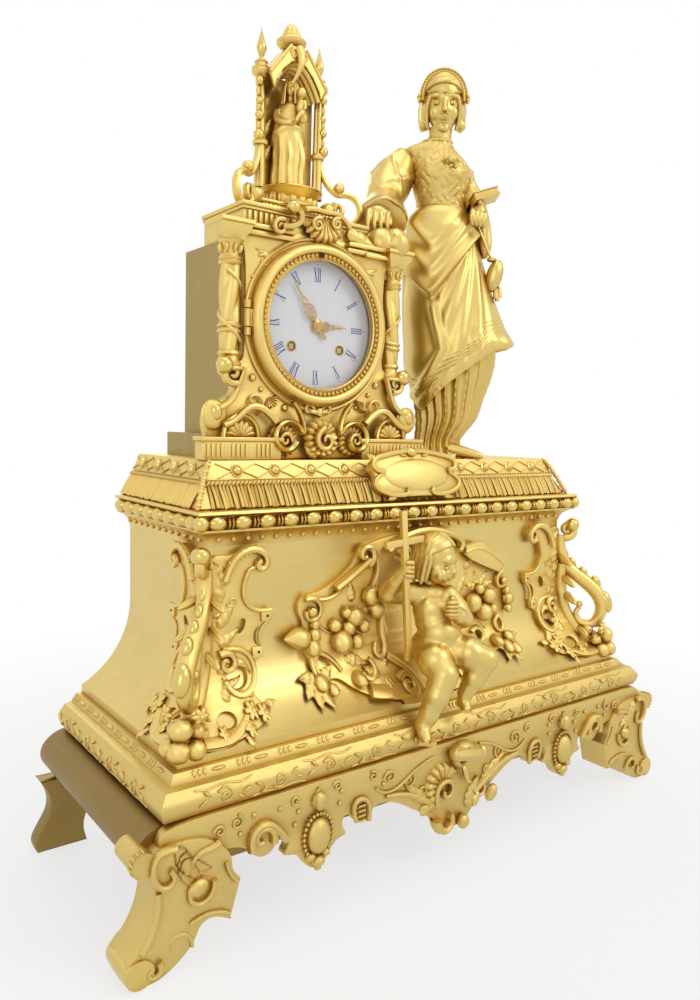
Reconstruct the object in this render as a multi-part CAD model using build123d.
from build123d import *
import os
from math import acos, atan2, cos, degrees, hypot, pi, radians, sin, sqrt

os.makedirs("parts", exist_ok=True)

# A gilt-bronze figural mantel clock, in millimetres. +X is the viewer's right, +Y the back, +Z up.
# The origin is on the table, under the middle of the clock.

# Heights of the stack, from the table up
foot_height = 46.0
base_height = 30.7
moulding_height = 19.8
plinth_height = 107.5
rim_height = 20.5
terrace_height = 26.8
step_height = 14.7
attic_height = 18.5

# Plinth and base
plinth_neck_width = 302.6
plinth_neck_depth = 110.5
flare = 32.7
plinth_fillet = 4.7
cavetto_top = 58.5
back_y = 88.0
cast_wall = 4.0
plate_wall = 5.0
base_front_overhang = 8.8
base_side_overhang = 6.0
roll_width = 20.5
roll_drop = 14.7
apron_thickness = 7.0
front_foot_depth = 24.0
front_foot_proud = 9.0
front_foot_overhang = 16.0
rear_foot_width = 31.0
rear_foot_depth = 12.0
rear_foot_proud = 3.0
rear_foot_overhang = 4.5

# Terrace
terrace_top_width = 289.0
terrace_front_setback = 12.3
terrace_flare = 14.0
cartouche_width = 80.0
cartouche_height = 33.0
cartouche_thickness = 5.0

# Clock case
clock_x = -64.4
case_width = 109.0
case_setback = 18.2
rear_space = 6.5
sheet_wall = 2.5
front_frame_thickness = 8.0
attic_depth = 50.0
step_overhang = 11.5
dial_rise = 68.2
dial_headroom = 3.9
column_radius = 5.0
column_foot_lip = 0.5
column_gap = 1.0
column_height = 72.0
capital_height = 5.0

# Dial, hands and bezel
dial_radius = 41.5
dial_thickness = 1.2
dial_recess = 2.0
pan_rim = 2.7
pan_thickness = 1.8
pan_clearance = 0.4
bezel_land = 5.4
bezel_lip = 2.3
bezel_depth = 7.7
glass_seat = 1.8
glass_setback = 3.0
glass_thickness = 1.4
hand_thickness = 0.9
minute_hand_length = 34.0
hour_hand_length = 23.0
shown_minute = 54.0
shown_hour = 2.9
hinge_pin_radius = 1.0
hinge_knuckle_radius = 2.2
hinge_knuckle_length = 10.0
hinge_ear_length = 5.0
hinge_leaf_thickness = 2.4
hinge_standoff = 0.6

# Movement
plate_radius = 41.0
plate_thickness = 2.0
plate_gap = 32.0
motion_space = 8.0
winding_spread = 18.4
winding_drop = 13.4
winding_hole_radius = 3.6
arbor_radius = 0.75
pivot_radius = 0.5
pivot_clearance = 0.03
end_shake = 0.2
wheel_thickness = 1.2
pillar_radius = 2.5
pillar_inset = 3.0
bob_radius = 12.5
bob_thickness = 3.6
bob_clearance = 6.0
bell_radius = 24.0
bell_depth = 9.0
bell_standoff = 10.0
rear_opening_radius = 38.0
rear_cover_overlap = 4.0
rear_cover_thickness = 1.4

# Fits
running_clearance = 0.05
moving_gap = 0.3

# Derived places
base_z = foot_height
moulding_z = base_z + base_height
plinth_z = moulding_z + moulding_height
rim_z = plinth_z + plinth_height
terrace_z = rim_z + rim_height
floor_z = terrace_z + terrace_height
case_z = floor_z + step_height
dial_pan_radius = dial_radius + pan_rim
case_opening_radius = dial_pan_radius + pan_clearance
bezel_radius = case_opening_radius + bezel_land
bezel_lip_radius = dial_radius - bezel_lip
glass_radius = bezel_lip_radius + glass_seat
rear_cover_radius = rear_opening_radius + rear_cover_overlap
case_height = dial_rise + case_opening_radius + dial_headroom
attic_z = case_z + case_height
niche_z = attic_z + attic_height
dial_z = case_z + dial_rise
neck_half = plinth_neck_width / 2
foot_half = neck_half + flare
neck_front_y = back_y - plinth_neck_depth
foot_front_y = neck_front_y - flare
terrace_half = terrace_top_width / 2
terrace_front_y = neck_front_y + terrace_front_setback
case_front_y = terrace_front_y + case_setback
case_half = case_width / 2
column_foot_radius = column_radius + column_foot_lip
column_half_pitch = case_half + column_gap + column_foot_radius
cavetto_radius = (flare ** 2 + (cavetto_top - plinth_fillet) ** 2) / (2 * flare)

# Derived levels, from the front of the case to its back
frame_front_y = case_front_y - front_frame_thickness
dial_front_y = frame_front_y + dial_recess
dial_back_y = dial_front_y + dial_thickness
pan_back_y = dial_back_y + pan_thickness
plate_y = pan_back_y + motion_space
plate_inner_y = plate_y + plate_thickness
behind = plate_gap + plate_thickness
bell_low = behind + bell_standoff
case_back_y = plate_inner_y + bell_low + bell_depth + rear_space

nodes = {}


def keep(name, *solids):
    """File one node, made of one or more solids."""
    nodes[name] = Compound(children=list(solids)) if len(solids) > 1 else solids[0]
    return nodes[name]


def one_solid(shape):
    """The largest solid of a shape, so that no crumb of a cut is left."""
    return max(shape.solids(), key=lambda s: s.volume)


def edges_of(profile, to_point):
    """Edges along a profile of points and (middle, end) arcs, carried into place by to_point."""
    edges = []
    here = profile[0]
    for step in profile[1:]:
        if isinstance(step[0], tuple):
            middle, end = step
            edges.append(ThreePointArc(to_point(here), to_point(middle), to_point(end)))
        else:
            end = step
            edges.append(Line(to_point(here), to_point(end)))
        here = end
    return edges


def end_of(profile):
    last = profile[-1]
    return last[1] if isinstance(last[0], tuple) else last


def moulded(profile, half_width, front_y, bottom_z):
    """A block with one moulding round its front and sides and a flat back.

    The profile is a list of (outward, height) points from bottom to top."""
    def right(p):
        return (half_width + p[0], 0, bottom_z + p[1])

    def left(p):
        return (-half_width - p[0], 0, bottom_z + p[1])

    def front(p):
        return (0, front_y - p[0], bottom_z + p[1])

    start, end = profile[0], end_of(profile)
    across = edges_of(profile, right) + edges_of(profile, left)
    across += [Line(left(start), right(start)), Line(left(end), right(end))]
    back_low = (0, back_y, bottom_z + start[1])
    back_high = (0, back_y, bottom_z + end[1])
    along = edges_of(profile, front)
    along += [Line(front(start), back_low), Line(back_low, back_high), Line(back_high, front(end))]
    reach = 2 * foot_half
    wide = extrude(make_face(across), amount=reach, dir=(0, 1, 0), both=True)
    deep = extrude(make_face(along), amount=reach, dir=(1, 0, 0), both=True)
    return one_solid(wide & deep)


def block(x0, x1, y0, y1, z0, z1):
    """A box between two corners."""
    return Pos((x0 + x1) / 2, (y0 + y1) / 2, (z0 + z1) / 2) * Box(x1 - x0, y1 - y0, z1 - z0)


def limb(start, start_radius, end, end_radius):
    """A tapered limb with round ends, as one turned solid."""
    a, b = Vector(*start), Vector(*end)
    axis = b - a
    length = axis.length
    tilt = acos((start_radius - end_radius) / length)
    low_rim = (start_radius * sin(tilt), start_radius * cos(tilt))
    high_rim = (end_radius * sin(tilt), length + end_radius * cos(tilt))
    half = (tilt + pi) / 2
    low_mid = (start_radius * sin(half), start_radius * cos(half))
    high_mid = (end_radius * sin(tilt / 2), length + end_radius * cos(tilt / 2))
    bottom = (0, -start_radius)
    top = (0, length + end_radius)
    outline = [Line(top, bottom), ThreePointArc(bottom, low_mid, low_rim), Line(low_rim, high_rim),
               ThreePointArc(high_rim, high_mid, top)]
    turned = revolve(Plane.XZ * make_face(outline), Axis.Z)
    return Plane(origin=a, z_dir=axis) * turned


limb_step = 0.96  # each limb starts this much slimmer than the joint it grows from


def limbs(*joints):
    """A chain of limbs through (point, radius) joints."""
    chain = limb(*joints[0], *joints[1])
    for (here, radius), there in zip(joints[1:], joints[2:]):
        chain += limb(here, radius * limb_step, *there)
    return chain


def front_plate_of(points, y0, y1):
    """A plate of a closed XZ outline, from y0 to y1."""
    face = make_face(Polyline(*[(x, y1, z) for x, z in points], close=True))
    return extrude(face, amount=y1 - y0, dir=(0, -1, 0))


def mirrored(points, axis_x=0.0):
    """A half outline, from bottom to top on the right, closed by its mirror image."""
    return points + [(2 * axis_x - x, z) for x, z in reversed(points)]


# Plinth profile, shared by everything that lies on its cavetto
def cavetto_profile(proud=0.0):
    """The plinth's (outward, height) profile, stood off its surface by proud."""
    radius = cavetto_radius - proud
    start_angle = atan2(plinth_fillet - cavetto_top, flare - cavetto_radius)
    middle_angle = (start_angle - pi) / 2
    start = (cavetto_radius + radius * cos(start_angle), cavetto_top + radius * sin(start_angle))
    middle = (cavetto_radius + radius * cos(middle_angle), cavetto_top + radius * sin(middle_angle))
    end = (proud, cavetto_top)
    return start, middle, end


def plinth_profile():
    start, middle, end = cavetto_profile()
    return [(flare, 0.0), start, (middle, end), (0.0, plinth_height)]


def cavetto_skin(proud):
    """A solid that stands proud of the plinth's three faces, above its foot fillet."""
    start, middle, end = cavetto_profile(proud)
    profile = [start, (middle, end), (proud, plinth_height)]
    return moulded(profile, neck_half, neck_front_y, plinth_z)


# Base
base_half = foot_half + base_side_overhang
base_front_y = foot_front_y - base_front_overhang
tie_rod_x = 110.0
tie_rod_y = 30.0
tie_rod_radius = 3.0
tie_nut_radius = 6.0
tie_nut_height = 5.0
tie_rod_clearance = 0.2


def tie_holes(z0, z1):
    """The two holes that the tie rods pass through."""
    hole = Cylinder(tie_rod_radius + tie_rod_clearance, z1 - z0)
    middle_z = (z0 + z1) / 2
    return Pos(-tie_rod_x, tie_rod_y, middle_z) * hole + Pos(tie_rod_x, tie_rod_y, middle_z) * hole


def base_box():
    roll = Plane.XZ * Pos(base_half, base_z + roll_drop) * Ellipse(roll_width, roll_drop)
    roll = extrude(roll, amount=back_y - base_front_y, dir=(0, 1, 0))
    roll = Pos(0, base_front_y, 0) * roll
    body = block(-base_half, base_half, base_front_y, back_y, base_z, moulding_z)
    body = body + roll + mirror(roll, Plane.YZ)
    hollow = block(-base_half + cast_wall, base_half - cast_wall, base_front_y + cast_wall,
                   back_y - cast_wall, base_z, moulding_z - plate_wall)
    return one_solid(body - hollow - tie_holes(base_z, moulding_z))


def base_moulding():
    profile = [(12.8, 0.0), ((15.0, 8.2), (9.0, 14.0)), (6.3, 14.8), (6.3, 16.6), (3.1, moulding_height)]
    inner_half = foot_half - flare / 2
    ring = moulded(profile, foot_half, foot_front_y, moulding_z)
    hollow = block(-inner_half, inner_half, foot_front_y + flare / 2, back_y - cast_wall,
                   moulding_z, plinth_z)
    return one_solid(ring - hollow)


def plinth_shell():
    solid = moulded(plinth_profile(), neck_half, neck_front_y, plinth_z)
    hollow = block(-neck_half + cast_wall, neck_half - cast_wall, neck_front_y + cast_wall,
                   back_y - cast_wall, plinth_z, rim_z - plate_wall)
    return one_solid(solid - hollow - tie_holes(plinth_z, rim_z))


def gadroon_rim():
    profile = [(0.0, 0.0), ((3.4, 6.0), (7.6, 8.9)), (7.6, 9.8), ((13.4, 13.5), (8.5, 18.3)),
               (6.6, rim_height)]
    ring = moulded(profile, neck_half, neck_front_y, rim_z)
    hollow = block(-neck_half + cast_wall, neck_half - cast_wall, neck_front_y + cast_wall,
                   back_y - cast_wall, rim_z, terrace_z)
    return one_solid(ring - hollow)


def fringed_terrace():
    profile = [(terrace_flare, 0.0), (6.8, 12.6), (5.0, 14.4), (5.0, 16.0), (0.0, terrace_height)]
    solid = moulded(profile, terrace_half, terrace_front_y, terrace_z)
    hollow = block(-terrace_half + cast_wall, terrace_half - cast_wall, terrace_front_y + cast_wall,
                   back_y - cast_wall, terrace_z, floor_z - plate_wall)
    return one_solid(solid - hollow)


def tie_rods():
    low_z = moulding_z - plate_wall - tie_nut_height
    top_z = floor_z - plate_wall
    rod = Pos(0, 0, (low_z + top_z) / 2) * Cylinder(tie_rod_radius, top_z - low_z)
    rod += Pos(0, 0, low_z + tie_nut_height / 2) * Cylinder(tie_nut_radius, tie_nut_height)
    return [Pos(side * tie_rod_x, tie_rod_y, 0) * rod for side in (-1, 1)]


# Feet and apron
def front_foot():
    """The right front foot: a scroll leg, wide at the knee, with a rolled toe."""
    outer = base_half + front_foot_overhang
    shape = [(-50.0, 1.0), (-52.0, 0.78), (-44.0, 0.43), (-30.0, 0.46), (-20.0, 0.17), (-14.0, 0.0),
             (4.0, 0.0), (13.0, 0.11), (13.0, 0.30), (4.0, 0.43), (-2.0, 0.65), (0.0, 1.0)]
    outline = [(outer + x, share * foot_height) for x, share in shape]
    front = base_front_y - front_foot_proud
    return front_plate_of(outline, front, front + front_foot_depth)


def rear_foot():
    """The right rear foot: a plain bracket plate with a curved edge."""
    outer = base_half + roll_width + rear_foot_overhang
    inner = outer - rear_foot_width
    outline = [(inner, base_z), (inner - 4.0, 0.52 * base_z), (inner, 0.0), (outer, 0.0),
               (outer + 2.0, 0.17 * base_z), (outer - 9.0, 0.57 * base_z), (outer - 5.0, base_z)]
    back = back_y + rear_foot_proud
    return front_plate_of(outline, back - rear_foot_depth, back)


def front_apron():
    """A skirt with a central boss and two pendants that hang below the base."""
    drops = [(0.0, -27.0), (16.0, -22.0), (30.0, -10.0), (44.0, 0.0), (70.0, 4.0), (82.0, -2.0),
             (92.0, -10.0), (107.0, -19.0), (122.0, -10.0), (132.0, -1.0), (152.0, 3.0)]
    half = [(x, base_z + drop) for x, drop in drops]
    half += [(base_half - 4.0, base_z + 3.0), (base_half + 8.0, base_z + 8.0),
             (base_half + 8.0, moulding_z - 6.0), (base_half + 4.0, moulding_z)]
    return front_plate_of(mirrored(half), base_front_y - apron_thickness, base_front_y)


# Ornament on the plinth
mount_proud = 8.0
wing_width = 50.0
centre_mount_half = neck_half - wing_width + 5.7


def clear_of(shape, *names):
    """A shape cut back to the faces of the nodes that it sits on."""
    for name in names:
        shape = shape - nodes[name]
    return one_solid(shape)


def relief(outline):
    """A cast mount of a front outline, lying on the plinth's cavetto."""
    slab = front_plate_of(outline, base_front_y - mount_proud, neck_front_y + mount_proud)
    return slab & cavetto_skin(mount_proud)


def corner_point(outward, z):
    """A point in the upright diagonal plane of the right front corner."""
    step = outward / sqrt(2)
    return (neck_half + step, neck_front_y - step, z)


def corner_mount():
    """The right corner mount: two wings on the faces and a scroll that stands off the corner."""
    low, high = plinth_z + 8.0, rim_z - 1.0
    tall = high - low
    inner = neck_half - wing_width
    outer = foot_half + mount_proud
    outline = [(outer, low), (inner + 44.0, low), (inner + 28.0, low + 0.10 * tall),
               (inner + 18.0, low + 0.36 * tall), (inner + 16.0, low + 0.62 * tall),
               (inner + 30.0, low + 0.72 * tall), (inner + 34.0, low + 0.84 * tall),
               (inner + 22.0, low + 0.88 * tall), (inner + 24.0, high), (outer, high)]
    wing = relief(outline)
    diagonal = Plane(origin=(neck_half, neck_front_y, 0), z_dir=(1, 1, 0))
    scroll = limbs((corner_point(10.0, rim_z - 7.0), 6.0), (corner_point(5.0, rim_z - 22.0), 5.0),
                   (corner_point(7.0, rim_z - 34.0), 5.0), (corner_point(22.0, rim_z - 48.0), 5.0),
                   (corner_point(34.0, rim_z - 63.0), 5.0), (corner_point(30.0, rim_z - 78.0), 4.5),
                   (corner_point(19.0, rim_z - 74.0), 3.5))
    spine = limbs((corner_point(6.0, rim_z - 38.0), 5.0), (corner_point(9.0, rim_z - 62.0), 5.5),
                  (corner_point(21.0, rim_z - 86.0), 5.5), (corner_point(40.0, plinth_z + 13.0), 8.0))
    return clear_of(wing + mirror(wing, diagonal) + scroll + spine, *on_plinth)


def centre_mount():
    low, high = plinth_z + 9.0, rim_z + 1.0
    tall = high - low
    shape = [(0.0, 0.0), (0.37, 0.04), (0.58, 0.10), (0.80, 0.06), (0.90, 0.22), (0.86, 0.40), (1.0, 0.54),
             (0.84, 0.66), (0.82, 0.80), (0.56, 0.80), (0.35, 0.95), (0.15, 0.99)]
    half = [(across * centre_mount_half, low + up * tall) for across, up in shape]
    return clear_of(relief(mirrored(half)), *on_plinth)


seat_z = plinth_z + 16.0
seat_y = foot_front_y + 0.2
cross_x = -33.0
cross_half_width = 2.0
cross_half_depth = 1.5
cross_low_z = plinth_z + 32.0
cross_top_z = terrace_z - 2.0
cross_arm_half = 15.0
cross_arm_drop = 19.0
cross_grip_rise = 74.0


figure_turn = -37.4  # the figures face the clock's left front
putto_x = 2.0


def turned_point(x, y, across, toward, z):
    """A point of a figure that stands at (x, y), measured across it and toward whom it faces."""
    turn = radians(figure_turn)
    return (x + across * cos(turn) + toward * sin(turn), y + across * sin(turn) - toward * cos(turn), z)


def seated(across, toward, up):
    """A point of the seated child, from the edge that it sits on."""
    return turned_point(putto_x, seat_y, across, toward, seat_z + up)


def putto():
    """A seated child: one leg hangs over the base moulding, the right hand holds the cross."""
    body = limbs((seated(-9, 3, 47.5), 12.5), (seated(-5, 6, 31.5), 13.5), (seated(-5, -3, 18.5), 16.0))
    body += limbs((seated(-8, 1, 60), 7.5), (seated(-4, 8, 71), 9.5), (seated(-7.5, 2, 78), 14.2))
    body += limbs((seated(-12, 9, 21.5), 11.5), (seated(-3, 26, 9.5), 9.2), (seated(-11.5, 30, -13.5), 6.2),
                  (seated(-14, 36, -26), 4.4))
    body += limbs((seated(4, 6, 20.5), 11.5), (seated(24, 13, 16.5), 8.6), (seated(12.5, 12, -7), 5.2),
                  (seated(12.5, 16, -14), 3.6))
    grip = (cross_x, seat_y, seat_z + cross_grip_rise)
    body += limbs((seated(-19, 3, 57.5), 7.2), (seated(-38, 10, 56), 6.4), (grip, cross_half_width + 3.5))
    body += limbs((seated(0.5, 5, 55.5), 7.0), (seated(11, 8, 40.5), 5.6), (seated(1.5, 18, 49), 4.6))
    return clear_of(body - cross_upright(), *on_plinth, "centre_mount")


def cross_upright():
    return block(cross_x - cross_half_width, cross_x + cross_half_width, seat_y - cross_half_depth,
                 seat_y + cross_half_depth, cross_low_z, cross_top_z)


def putto_cross():
    arm_z = cross_top_z - cross_arm_drop
    arm = block(cross_x - cross_arm_half, cross_x + cross_arm_half, seat_y - cross_half_depth,
                seat_y + cross_half_depth, arm_z - cross_half_width, arm_z + cross_half_width)
    return clear_of(cross_upright() + arm, *on_plinth, "centre_mount", "putto")


def title_cartouche():
    """A bare scroll-edged shield on the terrace front, a little higher than the terrace."""
    half = cartouche_width / 2
    low = terrace_z + 1.0
    high = low + cartouche_height
    right = [(half * 0.4, low), (half * 0.9, low + 7.0), (half, low + 16.0), (half * 0.85, high - 6.0),
             (half * 0.45, high)]
    front = terrace_front_y - terrace_flare - cartouche_thickness
    plate = front_plate_of(mirrored(right), front, terrace_front_y - 1.0)
    return clear_of(plate, "fringed_terrace", "gadroon_rim")


# Clock case
case_ledge = sheet_wall + 2.0
step_back_lip = 2.0


def case_step():
    half = case_half + step_overhang
    back = case_back_y + step_back_lip
    solid = block(clock_x - half, clock_x + half, case_front_y, back, floor_z, case_z)
    hollow = block(clock_x - half + cast_wall, clock_x + half - cast_wall, case_front_y + cast_wall,
                   back - cast_wall, floor_z, case_z - cast_wall)
    well = block(clock_x - case_half + case_ledge, clock_x + case_half - case_ledge,
                 case_front_y + case_ledge, case_back_y - case_ledge, floor_z, case_z)
    return solid - hollow - well


def dial_disc(radius, y0, y1, right=0.0, up=0.0):
    """A disc square to the clock's axis, from y0 to y1, set off the dial's centre."""
    place = Plane(origin=(clock_x + right, y1, dial_z + up), x_dir=(1, 0, 0), z_dir=(0, -1, 0))
    return extrude(place * Circle(radius), amount=y1 - y0)


def case_shell():
    left, right = clock_x - case_half, clock_x + case_half
    outer = block(left, right, case_front_y, case_back_y, case_z, attic_z)
    inner = block(left + sheet_wall, right - sheet_wall, case_front_y + sheet_wall,
                  case_back_y - sheet_wall, case_z, attic_z - sheet_wall)
    shell = outer - inner
    shell -= dial_disc(case_opening_radius, case_front_y, case_front_y + sheet_wall)
    shell -= dial_disc(rear_opening_radius, case_back_y - sheet_wall, case_back_y)
    return shell + hinge_ears(rear_hinge_x, rear_hinge_y, -1)


column_low_z = attic_z - capital_height - column_height


def case_front():
    """The cast frame round the dial: plinth blocks, column brackets, cornice and lower scrolls."""
    reach = column_half_pitch + column_foot_radius + 4.5
    waist = column_half_pitch - column_foot_radius - column_gap
    scroll = [(7.0, 0.10), (1.0, 0.45), (-10.0, 0.65), (-6.0, 0.80), (-2.0, 1.0)]
    half = [(reach + 4.0, floor_z), (reach + 4.0, case_z)]
    half += [(reach + x, case_z + share * (column_low_z - case_z)) for x, share in scroll]
    half += [(waist, column_low_z), (waist, column_low_z + column_height),
             (reach, column_low_z + column_height), (reach, attic_z)]
    right = [(clock_x + x, z) for x, z in half]
    plate = front_plate_of(mirrored(right, clock_x), frame_front_y, case_front_y)
    plate -= dial_disc(case_opening_radius, frame_front_y, case_front_y)
    return plate + hinge_ears(bezel_hinge_x, bezel_hinge_y, 1)


def column(side):
    """A column with a turned foot and capital, standing between bracket and cornice."""
    tall = column_height
    foot = column_foot_radius
    shaft = 0.8 * column_radius
    outline = [(0, 0), (foot, 0), (foot, 6), (shaft, 9), (shaft, tall - 10), (foot, tall - 5), (foot, tall),
               (0, tall)]
    turned = revolve(Plane.XZ * make_face(Polyline(*outline, close=True)), Axis.Z)
    middle_y = case_front_y - column_radius
    return Pos(clock_x + side * column_half_pitch, middle_y, column_low_z) * turned


def case_attic():
    left, right = clock_x - case_half, clock_x + case_half
    solid = block(left, right, frame_front_y, frame_front_y + attic_depth, attic_z, niche_z)
    hollow = block(left + cast_wall, right - cast_wall, frame_front_y + cast_wall,
                   frame_front_y + attic_depth - cast_wall, attic_z, niche_z - cast_wall)
    return solid - hollow


# Niche on the attic
niche_y = frame_front_y + 37.0
niche_base_height = 22.0
niche_post_spread = 22.0
niche_post_height = 70.0
niche_post_radius = 3.0
niche_arch_rise = 20.0
niche_scroll_radius = 11.0
niche_scroll_thickness = 3.4
ring_flat = 0.2
pinnacle_height = 22.0
arch_height = 36.0
arch_depth = 12.0
crown_height = 22.0
figure_floor_z = niche_z + niche_base_height
arch_z = figure_floor_z + niche_post_height - niche_arch_rise


def niche_base():
    """A stepped block with an open scroll ring on each side."""
    half, deep, step = niche_post_spread + 6.0, 12.0, 2.0
    step_z = niche_z + 10.0
    body = block(clock_x - half, clock_x + half, niche_y - deep, niche_y + deep, niche_z, step_z)
    half_top, deep_top = half - 2 * step, deep - step
    body += block(clock_x - half_top, clock_x + half_top, niche_y - deep_top, niche_y + deep_top, step_z,
                  figure_floor_z)
    ring = Rot(90, 0, 0) * Torus(niche_scroll_radius, niche_scroll_thickness)
    for side in (-1, 1):
        x = clock_x + side * (half + niche_scroll_radius)
        body += Pos(x, niche_y, niche_z + niche_scroll_radius + niche_scroll_thickness - ring_flat) * ring
    reach = half + 3 * niche_scroll_radius
    under = block(clock_x - reach, clock_x + reach, niche_y - deep, niche_y + deep, attic_z, niche_z)
    return one_solid(body - under)


def niche_frame():
    """Two posts with pinnacles and a pointed arch between them."""
    top_z = figure_floor_z + niche_post_height
    posts = []
    for side in (-1, 1):
        x = clock_x + side * niche_post_spread
        post = upright_pin(niche_post_radius, x, niche_y, figure_floor_z, top_z)
        post += upright_pin(niche_post_radius + 2.0, x, niche_y, top_z - 1.5, top_z + 1.5)
        post += Pos(x, niche_y, top_z + pinnacle_height / 2) * Cone(niche_post_radius, 0.6, pinnacle_height)
        posts.append(post)
    spread = niche_post_spread
    outer = [(spread + 2.0, 0.0), (spread, 10.0), (0.5 * spread, 26.0), (3.0, arch_height)]
    inner = [(spread - 4.0, 0.0), (spread - 5.0, 8.0), (0.4 * spread, 20.0), (0.5, arch_height - 8.0)]
    left = [(-x, z) for x, z in outer[::-1]] + [(-x, z) for x, z in inner]
    ring = [(clock_x + x, arch_z + z) for x, z in outer + left + inner[::-1]]
    arch = front_plate_of(ring, niche_y - arch_depth / 2, niche_y + arch_depth / 2)
    return one_solid(posts[0] + posts[1] + arch)


def niche_crown():
    """A turned dish and bud on the point of the arch."""
    low = arch_z + arch_height
    outline = [(0, 0), (3.0, 0), (9.0, 5.0), (9.0, 8.0), (4.0, 9.0), (7.0, 14.0), (3.5, crown_height - 2.0),
               (0, crown_height)]
    turned = revolve(Plane.XZ * make_face(Polyline(*outline, close=True)), Axis.Z)
    return Pos(clock_x, niche_y, low) * turned


def niche_figures():
    """A standing draped mother with a child on her left arm."""
    x, y, z = clock_x, niche_y - 1.0, figure_floor_z
    outline = [(0, 0), (10.5, 0), (9.0, 14), (8.0, 30), (7.0, 42), (8.0, 50), (3.0, 55), (0, 55)]
    robe = Pos(x, y, z) * revolve(Plane.XZ * make_face(Polyline(*outline, close=True)), Axis.Z)
    robe += limbs(((x, y, z + 54.0), 3.0), ((x + 0.5, y - 1.0, z + 61.0), 5.0))
    robe += limbs(((x + 7.0, y - 6.0, z + 40.0), 4.0), ((x + 7.5, y - 6.5, z + 48.0), 3.6),
                  ((x + 7.0, y - 6.5, z + 54.0), 3.4))
    robe += limbs(((x - 7.0, y, z + 48.0), 3.2), ((x - 8.0, y - 4.0, z + 38.0), 3.0),
                  ((x, y - 9.0, z + 36.0), 2.4))
    return one_solid(robe)


# The standing woman
woman_x = 56.0
woman_y = terrace_front_y + 30.2
waist_z = floor_z + 180.0
neck_z = floor_z + 225.0
hem_z = floor_z + 50.0
hem_slope = 31.8
pouch_tip_z = floor_z + 114.0
pouch_tip = -8.0
pouch_slope = 55.5


def worn(across, z, half_width, half_depth):
    """A level oval section of the figure's clothes."""
    place = Plane(origin=(woman_x, woman_y, z)) * Rot(0, 0, figure_turn)
    return place * Pos(across, 0) * Ellipse(half_width, half_depth)


def standing(across, toward, z):
    return turned_point(woman_x, woman_y, across, toward, z)


def below_line(z, slope, across=0.0):
    """Everything below a plane that leans to one side of the figure, through a height at a place across it."""
    reach = 2 * foot_half
    lean = Pos(*standing(across, 0, z)) * Rot(0, 0, figure_turn) * Rot(0, -slope, 0)
    return lean * Pos(0, 0, -reach / 2) * Box(reach, reach, reach)


def woman_skirt():
    """The pleated underskirt, and over it the skirt that the left hand gathers up into a pouch."""
    under = loft([worn(3.6, floor_z, 20.0, 19.0), worn(2.4, floor_z + 13.0, 16.0, 16.5),
                  worn(8.2, floor_z + 29.0, 21.5, 19.0), worn(10.5, floor_z + 61.0, 29.5, 24.0),
                  worn(12.0, floor_z + 90.0, 30.0, 24.0)])
    over = loft([worn(9.0, floor_z + 28.0, 20.0, 21.0), worn(11.0, floor_z + 49.0, 29.0, 26.0),
                 worn(13.5, floor_z + 67.0, 37.0, 29.0), worn(15.0, floor_z + 83.0, 39.5, 30.0),
                 worn(6.2, floor_z + 116.0, 31.8, 25.0), worn(1.5, floor_z + 150.0, 26.5, 21.0),
                 worn(-0.8, waist_z - 6.0, 21.7, 17.0), worn(-0.3, waist_z, 17.2, 14.0)])
    over -= below_line(hem_z, hem_slope)
    pouch = loft([worn(6.0, pouch_tip_z - 9.0, 37.5, 31.0), worn(2.6, pouch_tip_z + 26.0, 33.0, 28.0),
                  worn(0.0, waist_z - 15.0, 29.0, 24.0), worn(-0.3, waist_z - 2.0, 22.0, 18.5)])
    pouch -= below_line(pouch_tip_z, pouch_slope, pouch_tip) + below_line(pouch_tip_z, -pouch_slope, pouch_tip)
    ridges = [limb(standing(19.0, 17.0, waist_z - 19.0), 4.0, standing(across, toward, floor_z + up), 6.0)
              for across, toward, up in ((2.0, 21.0, 70.0), (29.0, 22.0, 82.0), (45.0, 13.0, 85.0))]
    purse = limb(standing(35.5, 8.0, waist_z - 41.0), 5.0, standing(37.0, 8.0, waist_z - 56.0), 6.0)
    return one_solid(under + over + pouch + ridges + purse)


def woman_bodice():
    return loft([worn(-0.3, waist_z, 17.2, 14.0), worn(-0.8, waist_z + 9.0, 18.8, 14.8),
                 worn(-1.8, waist_z + 24.0, 21.3, 16.4), worn(-7.8, waist_z + 35.0, 21.4, 13.2),
                 worn(-8.6, waist_z + 42.0, 15.2, 10.8), worn(-4.6, neck_z, 10.5, 9.6)])


def woman_head():
    x, y = woman_x - 1.5, woman_y - 1.0
    neck = Pos(x, y, neck_z + 6.0) * Cylinder(7.0, 12.0)
    skull = limb((x, y - 2.0, neck_z + 22.0), 15.0, (x + 0.5, y + 1.0, neck_z + 32.0), 17.5)
    hair = limbs(((x - 17.0, y + 3.0, neck_z + 14.0), 5.5), ((x - 15.0, y + 3.0, neck_z + 28.0), 6.0))
    hair += limbs(((x + 17.0, y + 1.0, neck_z + 14.0), 5.5), ((x + 15.0, y + 3.0, neck_z + 28.0), 6.0))
    return one_solid(neck + skull + hair)


rest_z = attic_z + 34.0


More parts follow.
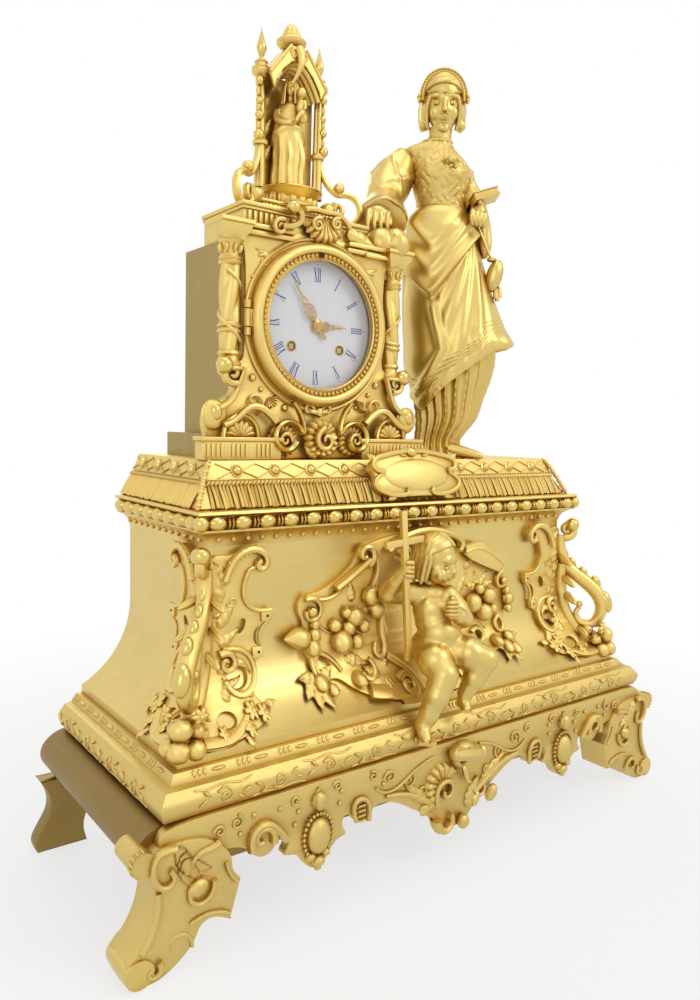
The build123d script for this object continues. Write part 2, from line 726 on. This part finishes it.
def woman_right_arm():
    """The puffed sleeve and the hand that rests on the fruit over the right column."""
    capital_x = clock_x + column_half_pitch
    fruit_y = frame_front_y + 11.0
    arm = limbs((standing(-27, 2, neck_z - 11.0), 9.5), (standing(-36, 6, neck_z - 26.0), 14.0),
                (standing(-42, 18, rest_z + 13.0), 13.4), (standing(-43.5, 33, rest_z - 2.0), 15.0),
                ((capital_x - 5.0, fruit_y, rest_z - 4.0), 7.5))
    melon = (capital_x - 4.0, fruit_y, attic_z + 10.0)
    fruit = limb(melon, 10.5, (capital_x, fruit_y, rest_z - 15.0), 8.5)
    fruit += limb(melon, 8.8, (capital_x + 4.5, fruit_y - 5.0, attic_z + 11.0), 9.0)
    under = block(clock_x - case_half, woman_x, frame_front_y - 20.0, woman_y + 20.0, case_z, attic_z)
    return clear_of(one_solid(arm + fruit - under), "woman_bodice", "woman_skirt", "case_attic", "case_front")


def woman_left_arm():
    """The left sleeve, the hand at the waist and the small book in it."""
    arm = limbs((standing(14.5, -2, neck_z - 13.0), 8.5), (standing(20, -2, neck_z - 27.0), 10.3),
                (standing(24, 6, waist_z + 1.0), 7.6), (standing(24.5, 16, waist_z - 6.0), 5.4))
    arm += limb(standing(26, 1, waist_z + 1.0), 6.4, standing(32, -1, waist_z - 31.0), 4.5)
    lean = Rot(0, 0, figure_turn + 14.0) * Rot(0, -16.0, 0) * Rot(-62.0, 0, 0)
    book = Pos(*standing(29.5, 15, waist_z + 4.7)) * lean * Box(22.0, 15.0, 6.0)
    return clear_of(arm + book, "woman_bodice", "woman_skirt")


# Dial, bezel and hands
pan_foot_angles = (40.0, 140.0, 270.0)
pan_foot_circle = 34.0
pan_foot_radius = 2.0
bezel_back_y = frame_front_y - moving_gap
bezel_front_y = bezel_back_y - bezel_depth
glass_front_y = bezel_front_y + glass_setback
bezel_hinge_x = clock_x - bezel_radius - hinge_knuckle_radius
bezel_hinge_y = frame_front_y - hinge_knuckle_radius - hinge_standoff
rear_hinge_x = clock_x + rear_cover_radius + hinge_knuckle_radius
rear_hinge_y = case_back_y + hinge_knuckle_radius + hinge_standoff


def upright_pin(radius, x, y, z0, z1):
    return Pos(x, y, (z0 + z1) / 2) * Cylinder(radius, z1 - z0)


def hinge_ears(x, y, toward_wall):
    """Two fixed knuckles with a pin between them, on lugs that reach the wall behind them."""
    half = hinge_knuckle_length / 2
    reach = half + moving_gap + hinge_ear_length
    ears = upright_pin(hinge_pin_radius, x, y, dial_z - reach, dial_z + reach)
    wall_y = y + toward_wall * (hinge_knuckle_radius + hinge_standoff)
    for low in (dial_z - reach, dial_z + reach - hinge_ear_length):
        ears += upright_pin(hinge_knuckle_radius, x, y, low, low + hinge_ear_length)
        ears += block(x - hinge_knuckle_radius, x + hinge_knuckle_radius, min(y, wall_y), max(y, wall_y),
                      low, low + hinge_ear_length)
    return ears


def hinge_knuckle(x, y, inward, reach):
    """The moving knuckle of a hinge, with the leaf that joins it to its ring."""
    half = hinge_knuckle_length / 2
    knuckle = upright_pin(hinge_knuckle_radius, x, y, dial_z - half, dial_z + half)
    leaf_x = x + inward * reach
    thick = hinge_leaf_thickness / 2
    knuckle += block(min(x, leaf_x), max(x, leaf_x), y - thick, y + thick, dial_z - half, dial_z + half)
    bore = upright_pin(hinge_pin_radius + running_clearance, x, y, dial_z - half, dial_z + half)
    return knuckle - bore


def dial_plate():
    y0, y1 = dial_front_y, dial_back_y
    plate = dial_disc(dial_radius, y0, y1) - dial_disc(hour_pipe_radius + moving_gap, y0, y1)
    for at in (going_at, strike_at):
        plate -= dial_disc(winding_hole_radius, y0, y1, *at)
    return plate


def dial_pan():
    """The brass pan behind the dial, on three feet from the front plate."""
    pan = dial_disc(dial_pan_radius, dial_front_y, pan_back_y)
    pan -= dial_disc(dial_radius, dial_front_y, dial_back_y)
    pan -= dial_disc(hour_pipe_radius + 2.0, dial_back_y, pan_back_y)
    for at in (going_at, strike_at):
        pan -= dial_disc(winding_hole_radius + 0.6, dial_back_y, pan_back_y, *at)
    for angle in pan_foot_angles:
        pan += dial_disc(pan_foot_radius, pan_back_y, plate_y, *spaced(centre_at, pan_foot_circle, angle))
    return pan


def bezel():
    ring = dial_disc(bezel_radius, bezel_front_y, bezel_back_y)
    ring -= dial_disc(bezel_lip_radius, bezel_front_y, bezel_back_y)
    ring -= dial_disc(glass_radius, glass_front_y, bezel_back_y)
    ring += hinge_knuckle(bezel_hinge_x, bezel_hinge_y, 1, hinge_knuckle_radius + bezel_land)
    return one_solid(ring)


def bezel_glass():
    return dial_disc(glass_radius, glass_front_y, glass_front_y + glass_thickness)


def rear_cover():
    """A shallow lid with a lip inside the rear opening and a small knob."""
    low, high = case_back_y - sheet_wall, case_back_y + moving_gap
    lip = rear_opening_radius - moving_gap
    cover = dial_disc(rear_cover_radius, high, high + rear_cover_thickness)
    cover += dial_disc(lip, low, high) - dial_disc(lip - 1.5, low, high)
    cover += dial_disc(2.5, high, high + rear_cover_thickness + 3.3, 6.0 - rear_cover_radius, 0.0)
    reach = hinge_knuckle_radius + rear_cover_overlap
    return one_solid(cover + hinge_knuckle(rear_hinge_x, rear_hinge_y, -1, reach))


cannon_radius = 2.1
hour_pipe_radius = 3.2
hour_hand_y = dial_front_y - 0.4 - hand_thickness
minute_hand_y = hour_hand_y - 0.5 - hand_thickness


def hand(length, y, bore, collar, clock_angle):
    """A pierced hand: collar, open oval and pointed tip, turned clockwise from noon."""
    loop_at = 0.42 * length
    tip = [(-0.9, 0.55 * length), (0.9, 0.55 * length), (0.25, length), (-0.25, length)]
    loop = Pos(0, loop_at) * (Ellipse(0.11 * length, 0.17 * length) - Ellipse(0.07 * length, 0.12 * length))
    neck = Pos(0, 0.16 * length) * Rectangle(2.0, 0.26 * length)
    face = Circle(collar) + neck + loop + make_face(Polyline(*tip, close=True)) - Circle(bore)
    place = Plane(origin=(clock_x, y + hand_thickness, dial_z), x_dir=(1, 0, 0), z_dir=(0, -1, 0))
    return one_solid(extrude(place * Rot(0, 0, -clock_angle) * face, amount=hand_thickness))


# Movement
def gear_face(teeth, module, phase, pointed=False):
    """A toothed disc with thin straight-sided teeth. phase is the angle of its first tooth."""
    pitch = 2 * pi / teeth
    pitch_radius = teeth * module / 2
    root, tip = pitch_radius - 1.05 * module, pitch_radius + 0.75 * module
    root_share, tip_share = (0.30, 0.04) if pointed else (0.21, 0.09)
    points = []
    for i in range(teeth):
        middle = phase + i * pitch
        for radius, share in ((root, -root_share), (tip, -tip_share), (tip, tip_share), (root, root_share)):
            angle = middle + share * pitch
            points.append((radius * cos(angle), radius * sin(angle)))
    return make_face(Polyline(*points, close=True))


def meshed_phase(here, teeth, phase, there, other_teeth):
    """The phase that puts a gear at there in mesh with the gear at here."""
    line = atan2(there[1] - here[1], there[0] - here[0])
    pitch, other_pitch = 2 * pi / teeth, 2 * pi / other_teeth
    share = ((line - phase) / pitch) % 1.0
    return line + pi - (0.5 - share) * other_pitch


def toothed(at, teeth, module, phase, low, high, bore=0.0, pointed=False):
    """A gear between two levels behind the front plate's inner face."""
    face = gear_face(teeth, module, phase, pointed)
    if bore:
        face = face - Circle(bore)
    y0, y1 = plate_inner_y + low, plate_inner_y + high
    place = Plane(origin=(clock_x + at[0], y1, dial_z + at[1]), x_dir=(1, 0, 0), z_dir=(0, -1, 0))
    return extrude(place * face, amount=y1 - y0)


def rod(at, radius, low, high):
    """A round length of arbor between two levels behind the front plate's inner face."""
    return dial_disc(radius, plate_inner_y + low, plate_inner_y + high, at[0], at[1])


def arbor(at, radius=arbor_radius):
    """An arbor with a pivot in each plate."""
    return rod(at, radius, end_shake, plate_gap - end_shake) + rod(at, pivot_radius, -plate_thickness, behind)


def spaced(here, distance, angle):
    return (here[0] + distance * cos(radians(angle)), here[1] + distance * sin(radians(angle)))


def mesh_distance(teeth, other_teeth, module):
    return (teeth + other_teeth) * module / 2


barrel_teeth, second_pinion = 84, 12
second_teeth, centre_pinion = 70, 10
centre_teeth, third_pinion = 96, 8
third_teeth, escape_pinion = 96, 8
escape_teeth = 40
cannon_teeth, minute_teeth = 12, 36
minute_pinion, hour_teeth = 10, 40
strike_second_teeth, pin_pinion = 40, 10
pin_teeth, fly_pinion = 60, 8
barrel_module, second_module, centre_module, third_module = 0.42, 0.40, 0.30, 0.28
escape_module = 0.40
cannon_module, strike_module, pin_module = 0.50, 0.38, 0.26
minute_module = mesh_distance(cannon_teeth, minute_teeth, cannon_module) * 2 / (minute_pinion + hour_teeth)

going_at = (winding_spread, -winding_drop)
strike_at = (-winding_spread, -winding_drop)
centre_at = (0.0, 0.0)
barrel_reach = mesh_distance(barrel_teeth, second_pinion, barrel_module)
second_reach = mesh_distance(second_teeth, centre_pinion, second_module)
centre_reach = mesh_distance(centre_teeth, third_pinion, centre_module)
third_reach = mesh_distance(third_teeth, escape_pinion, third_module)


def corner_between(here, reach, there, other_reach):
    """The point at two distances from two centres, on the left of the way from here to there."""
    apart = hypot(there[0] - here[0], there[1] - here[1])
    along = (apart ** 2 + reach ** 2 - other_reach ** 2) / (2 * apart)
    aside = sqrt(reach ** 2 - along ** 2)
    ux, uz = (there[0] - here[0]) / apart, (there[1] - here[1]) / apart
    return (here[0] + along * ux - aside * uz, here[1] + along * uz + aside * ux)


second_at = corner_between(centre_at, second_reach, going_at, barrel_reach)
third_at = spaced(centre_at, centre_reach, 141.0)
escape_at = (0.0, third_at[1] + sqrt(third_reach ** 2 - third_at[0] ** 2))
anchor_at = (0.0, escape_at[1] + 12.6)
strike_second_at = spaced(strike_at, barrel_reach, 140.0)
pin_at = spaced(strike_second_at, mesh_distance(strike_second_teeth, pin_pinion, strike_module), 80.0)
fly_at = spaced(pin_at, mesh_distance(pin_teeth, fly_pinion, pin_module), 100.0)
minute_at = spaced(centre_at, mesh_distance(cannon_teeth, minute_teeth, cannon_module), 90.0)
hammer_at = (-14.0, 33.0)
bell_at = (-12.0, -9.2)

# Levels behind the front plate's inner face
drum_low, drum_high = 7.5, 24.8
great_high = 26.5
second_low, centre_low, third_low, escape_low, pin_low = 4.3, 28.0, 1.7, 22.0, 18.0
pinion_margin = 0.5
barrel_drum_radius = 16.4
barrel_arbor_radius = 3.0
barrel_pivot_radius = 2.3
winding_square = 3.2
centre_arbor_radius = 1.2
stud_radius = 1.0
count_wheel_radius = 11.0
count_wheel_low, count_wheel_high = behind + 1.0, behind + 2.2
lifting_pin_circle = 5.6
lifting_pin_radius = 0.4
lifting_pin_length = 2.0
vane_half = 5.5
vane_low, vane_high = 7.0, 15.0
vane_thickness = 0.8


def barrel(at):
    """A spring barrel with its great wheel and the winding square at the dial."""
    body = rod(at, barrel_drum_radius, drum_low, drum_high)
    body += toothed(at, barrel_teeth, barrel_module, 0.0, drum_high, great_high)
    body += rod(at, barrel_arbor_radius, end_shake, plate_gap - end_shake)
    body += rod(at, barrel_pivot_radius, -plate_thickness, behind)
    square_front = dial_front_y + 0.3
    half = winding_square / 2
    body += block(clock_x + at[0] - half, clock_x + at[0] + half, square_front, plate_y,
                  dial_z + at[1] - half, dial_z + at[1] + half)
    return body


def wheel_and_pinion(at, teeth, module, low, wheel_phase, pinion, pinion_module, pinion_low, pinion_phase,
                     pinion_length=2.6):
    body = arbor(at)
    body += toothed(at, teeth, module, wheel_phase, low, low + wheel_thickness)
    return body + toothed(at, pinion, pinion_module, pinion_phase, pinion_low, pinion_low + pinion_length)


def going_train():
    great_low = drum_high - pinion_margin
    second_phase = meshed_phase(going_at, barrel_teeth, 0.0, second_at, second_pinion)
    keep("going_barrel", barrel(going_at))
    keep("second_wheel", wheel_and_pinion(second_at, second_teeth, second_module, second_low, 0.0,
                                          second_pinion, barrel_module, great_low, second_phase))
    centre_phase = meshed_phase(second_at, second_teeth, 0.0, centre_at, centre_pinion)
    centre = rod(centre_at, centre_arbor_radius, minute_tip_level, plate_gap - end_shake)
    centre += rod(centre_at, pivot_radius, plate_gap - end_shake, behind)
    centre += toothed(centre_at, centre_teeth, centre_module, 0.0, centre_low, centre_low + wheel_thickness)
    centre += toothed(centre_at, centre_pinion, second_module, centre_phase, second_low - pinion_margin,
                      second_low + wheel_thickness + pinion_margin)
    keep("centre_wheel", centre)
    third_phase = meshed_phase(centre_at, centre_teeth, 0.0, third_at, third_pinion)
    keep("third_wheel", wheel_and_pinion(third_at, third_teeth, third_module, third_low, 0.0, third_pinion,
                                         centre_module, centre_low - pinion_margin, third_phase, 2.2))
    escape_phase = meshed_phase(third_at, third_teeth, 0.0, escape_at, escape_pinion)
    escape = arbor(escape_at)
    escape += toothed(escape_at, escape_pinion, third_module, escape_phase, third_low - pinion_margin,
                      third_low + wheel_thickness + pinion_margin)
    escape += toothed(escape_at, escape_teeth, escape_module, 0.0, escape_low, escape_low + wheel_thickness,
                      pointed=True)
    keep("escape_wheel", escape)


def strike_train():
    great_low = drum_high - pinion_margin
    second_phase = meshed_phase(strike_at, barrel_teeth, 0.0, strike_second_at, second_pinion)
    keep("strike_barrel", barrel(strike_at))
    second = wheel_and_pinion(strike_second_at, strike_second_teeth, strike_module, second_low, 0.0,
                              second_pinion, barrel_module, great_low, second_phase)
    low, high = count_wheel_low, count_wheel_high
    keep("strike_second_wheel", second + rod(strike_second_at, pivot_radius, behind, high + 1.8))
    count = rod(strike_second_at, count_wheel_radius, low, high)
    for angle in range(0, 360, 30):
        count -= rod(spaced(strike_second_at, count_wheel_radius, angle), 0.8, low, high)
    keep("count_wheel", count - rod(strike_second_at, pivot_radius, low, high))
    pin_phase = meshed_phase(strike_second_at, strike_second_teeth, 0.0, pin_at, pin_pinion)
    pin = wheel_and_pinion(pin_at, pin_teeth, pin_module, pin_low, 0.0, pin_pinion, strike_module,
                           second_low - pinion_margin, pin_phase, 2.2)
    for angle in range(0, 360, 45):
        spot = spaced(pin_at, lifting_pin_circle, angle)
        pin += rod(spot, lifting_pin_radius, pin_low - lifting_pin_length, pin_low)
    keep("pin_wheel", pin)
    fly_phase = meshed_phase(pin_at, pin_teeth, 0.0, fly_at, fly_pinion)
    vane = arbor(fly_at) + toothed(fly_at, fly_pinion, pin_module, fly_phase, pin_low - pinion_margin,
                                   pin_low + wheel_thickness + pinion_margin)
    x, z = clock_x + fly_at[0], dial_z + fly_at[1]
    thick = vane_thickness / 2
    vane += block(x - vane_half, x + vane_half, plate_inner_y + vane_low, plate_inner_y + vane_high,
                  z - thick, z + thick)
    keep("fly", vane)


minute_tip_level = minute_hand_y - 0.8 - plate_inner_y
cannon_low = -plate_thickness - 2.2
hour_low = cannon_low - 2.4


def motion_work():
    """Cannon pinion, minute wheel on its stud and hour wheel, in front of the front plate."""
    minute_phase = meshed_phase(centre_at, cannon_teeth, 0.0, minute_at, minute_teeth)
    hour_phase = meshed_phase(minute_at, minute_pinion, 0.0, centre_at, hour_teeth)
    bore = centre_arbor_radius
    tip = minute_tip_level + 0.4
    cannon = toothed(centre_at, cannon_teeth, cannon_module, 0.0, cannon_low, cannon_low + 1.8, bore)
    cannon += rod(centre_at, cannon_radius, tip, cannon_low) - rod(centre_at, bore, tip, cannon_low)
    keep("cannon_pinion", cannon)
    stud_bore = stud_radius + running_clearance
    wheel = toothed(minute_at, minute_teeth, cannon_module, minute_phase, cannon_low + 0.2, cannon_low + 1.4,
                    stud_bore)
    wheel += toothed(minute_at, minute_pinion, minute_module, 0.0, hour_low - 0.5, cannon_low + 0.2,
                     stud_bore)
    keep("minute_wheel", wheel)
    pipe_bore = cannon_radius + running_clearance
    hour = toothed(centre_at, hour_teeth, minute_module, hour_phase, hour_low, hour_low + 1.2, pipe_bore)
    front = hour_hand_y - plate_inner_y
    hour += rod(centre_at, hour_pipe_radius, front, hour_low) - rod(centre_at, pipe_bore, front, hour_low)
    keep("hour_wheel", hour)
    keep("hour_hand", hand(hour_hand_length, hour_hand_y, hour_pipe_radius, 5.2, shown_hour * 30.0))
    keep("minute_hand", hand(minute_hand_length, minute_hand_y, cannon_radius, 4.2, shown_minute * 6.0))


pillar_angles = (270.0, 12.0, 55.0, 105.0)
pillar_at = [spaced(centre_at, plate_radius - pillar_inset, angle) for angle in pillar_angles]


def plates():
    """Front and back plates with pivot holes, and the pillars between them."""
    hole = pivot_radius + pivot_clearance
    fine = [second_at, third_at, escape_at, strike_second_at, pin_at, fly_at]
    front = rod(centre_at, plate_radius, -plate_thickness, 0.0)
    back = rod(centre_at, plate_radius, plate_gap, behind)
    for at in fine:
        front -= rod(at, hole, -plate_thickness, 0.0)
        back -= rod(at, hole, plate_gap, behind)
    for at in (anchor_at, hammer_at):
        front -= rod(at, hole, -plate_thickness, 0.0)
        back -= rod(at, arbor_radius + pivot_clearance, plate_gap, behind)
    for at in (going_at, strike_at):
        front -= rod(at, barrel_pivot_radius + pivot_clearance, -plate_thickness, 0.0)
        back -= rod(at, barrel_pivot_radius + pivot_clearance, plate_gap, behind)
    front -= rod(centre_at, centre_arbor_radius + pivot_clearance, -plate_thickness, 0.0)
    back -= rod(centre_at, hole, plate_gap, behind)
    front += rod(minute_at, stud_radius, hour_low - 0.8, -plate_thickness)
    keep("front_plate", front)
    keep("back_plate", back + suspension_cock())
    keep("plate_pillars", *[rod(at, pillar_radius, 0.0, plate_gap) for at in pillar_at])


eye_low, eye_high = behind + 3.6, behind + 6.4
eye_radius = 2.4
suspension_stud_radius = 0.8
cock_half = 4.0
cock_thickness = 1.6
pendulum_rod_radius = 0.8
crutch_length = 24.0
crutch_low, crutch_high = behind + 0.8, behind + 2.2


def suspension_cock():
    """A bracket on the back plate with the stud that the pendulum hangs from."""
    x, z = clock_x, dial_z + anchor_at[1]
    rear = plate_inner_y + eye_high + 0.4
    top = z + cock_half + 3.0
    left, right = x - cock_half, x + cock_half
    cock = block(left, right, plate_inner_y + behind, rear + cock_thickness, z + cock_half, top)
    cock += block(left, right, rear, rear + cock_thickness, z - 2.0, top)
    return cock + rod(anchor_at, suspension_stud_radius, eye_low - 0.2, eye_high + 0.6)


def pallet_anchor():
    """The anchor over the escape wheel, and the crutch behind the back plate on the same arbor."""
    body = rod(anchor_at, arbor_radius, end_shake, crutch_high)
    body += rod(anchor_at, pivot_radius, -plate_thickness, end_shake)
    x, z = clock_x, dial_z + anchor_at[1]
    yoke = mirrored([(x + 2.0, z - 2.4), (x + 8.4, z - 6.6), (x + 9.0, z - 9.4), (x + 10.4, z - 8.8),
                     (x + 10.2, z - 4.8), (x + 3.0, z + 1.6)], x)
    y0 = plate_inner_y + escape_low - 0.2
    body += front_plate_of(yoke, y0, y0 + wheel_thickness + 0.4)
    low, high = plate_inner_y + crutch_low, plate_inner_y + crutch_high
    fork_z = z - crutch_length
    body += block(x - 1.2, x + 1.2, low, high, fork_z, z)
    slot = pendulum_rod_radius + 0.2
    outer = slot + 2.2
    body += block(x - outer, x + outer, low, high, fork_z - 2.0, fork_z)
    for left, right in ((x - outer, x - slot), (x + slot, x + outer)):
        body += block(left, right, high, plate_inner_y + eye_high, fork_z - 2.0, fork_z)
    return body


pendulum_length = dial_z + anchor_at[1] - floor_z - bob_radius - bob_clearance


def pendulum():
    """Eye, rod and bob, hung behind the back plate."""
    z = dial_z + anchor_at[1]
    y = plate_inner_y + (eye_low + eye_high) / 2
    body = rod(anchor_at, eye_radius, eye_low, eye_high)
    body -= rod(anchor_at, suspension_stud_radius + running_clearance, eye_low, eye_high)
    body += upright_pin(pendulum_rod_radius, clock_x, y, z - pendulum_length, z - eye_radius + 0.4)
    half = bob_thickness / 2
    body += dial_disc(bob_radius, y - half, y + half, 0.0, anchor_at[1] - pendulum_length)
    return one_solid(body)


def bell():
    """A shallow cup on a stud from the back plate."""
    deep = bell_depth
    outline = [(0, deep), (4, deep), (bell_radius - 8, deep - 1), (bell_radius, 0), (bell_radius - 1.2, 0),
               (bell_radius - 9, deep - 2.2), (0, deep - 1.2)]
    cup = revolve(Plane.XZ * make_face(Polyline(*outline, close=True)), Axis.Z)
    place = Plane(origin=(clock_x + bell_at[0], plate_inner_y + bell_low, dial_z + bell_at[1]),
                  x_dir=(1, 0, 0), z_dir=(0, 1, 0))
    return place * cup + rod(bell_at, 1.5, behind, bell_low + deep - 0.6)


hammer_gap = 1.6
hammer_head_radius = 3.0
hammer_head_length = 4.4
hammer_arm_radius = 0.9
tail_gap = 0.5
tail_drop = 1.3


def hammer():
    """Arbor, tail that ends beside the lifting pins, and the head beside the bell."""
    arm_level = bell_low + 1.8
    body = rod(hammer_at, arbor_radius, end_shake, arm_level + hammer_arm_radius)
    body += rod(hammer_at, pivot_radius, -plate_thickness, end_shake)
    x, z = clock_x + hammer_at[0], dial_z + hammer_at[1]
    tail_y = plate_inner_y + pin_low - tail_drop
    tail_angle = degrees(atan2(hammer_at[1] - pin_at[1], hammer_at[0] - pin_at[0]))
    clear = lifting_pin_circle + lifting_pin_radius + tail_gap + hammer_arm_radius
    tip = spaced(pin_at, clear, tail_angle)
    body += limb((x, tail_y, z), arbor_radius + 0.1, (clock_x + tip[0], tail_y, dial_z + tip[1]),
                 hammer_arm_radius)
    arm_y = plate_inner_y + arm_level
    head = spaced(bell_at, bell_radius + hammer_gap + hammer_head_radius, 120.0)
    body += limb((x, arm_y, z), arbor_radius + 0.1, (clock_x + head[0], arm_y, dial_z + head[1]),
                 hammer_arm_radius)
    half = hammer_head_length / 2
    return body + dial_disc(hammer_head_radius, arm_y - half, arm_y + half, *head)


strap_width = 8.0
strap_thickness = 1.5


def movement_straps():
    """Two straps from the front wall to the back wall, against the edges of the plates."""
    y0, y1 = case_front_y + sheet_wall, case_back_y - sheet_wall
    strap = block(plate_radius, plate_radius + strap_thickness, y0, y1, -strap_width / 2, strap_width / 2)
    strap += block(plate_radius, case_opening_radius + 5.0, y0, y0 + strap_thickness, -strap_width / 2,
                   strap_width / 2)
    strap += block(rear_opening_radius + 1.0, plate_radius + 4.0, y1 - strap_thickness, y1, -strap_width / 2,
                   strap_width / 2)
    spot = Pos(clock_x, 0, dial_z)
    return [spot * Rot(0, angle, 0) * strap for angle in (45.0, 225.0)]


# The fixed case and sculpture, each piece cut back to what it sits on
keep("base_box", base_box())
keep("base_moulding", base_moulding())
keep("plinth_shell", plinth_shell())
keep("gadroon_rim", gadroon_rim())
keep("fringed_terrace", fringed_terrace())
keep("tie_rods", *tie_rods())
on_plinth = ("base_moulding", "plinth_shell", "gadroon_rim", "fringed_terrace")
keep("front_right_foot", front_foot())
keep("front_left_foot", mirror(front_foot(), Plane.YZ))
keep("rear_right_foot", rear_foot())
keep("rear_left_foot", mirror(rear_foot(), Plane.YZ))
keep("front_apron", front_apron())
keep("right_corner_mount", corner_mount())
keep("left_corner_mount", mirror(nodes["right_corner_mount"], Plane.YZ))
keep("centre_mount", centre_mount())
keep("putto", putto())
keep("putto_cross", putto_cross())
keep("title_cartouche", title_cartouche())
keep("case_step", case_step())
keep("case_shell", case_shell())
keep("case_front", case_front())
keep("left_column", column(-1))
keep("right_column", column(1))
keep("case_attic", case_attic())
keep("niche_base", niche_base())
keep("niche_frame", niche_frame())
keep("niche_crown", niche_crown())
keep("niche_figures", niche_figures())
keep("woman_skirt", woman_skirt())
keep("woman_bodice", woman_bodice())
keep("woman_head", woman_head())
keep("woman_right_arm", woman_right_arm())
keep("woman_left_arm", woman_left_arm())

# The clock
keep("dial", dial_plate())
keep("dial_pan", dial_pan())
keep("bezel", bezel())
keep("bezel_glass", bezel_glass())
keep("rear_cover", rear_cover())
plates()
going_train()
motion_work()
strike_train()
keep("pallet_anchor", pallet_anchor())
keep("pendulum", pendulum())
keep("bell", bell())
keep("hammer", hammer())
keep("movement_straps", *movement_straps())

for name, shape in nodes.items():
    export_step(shape, f"parts/{name}.step")
print(len(nodes), "nodes")
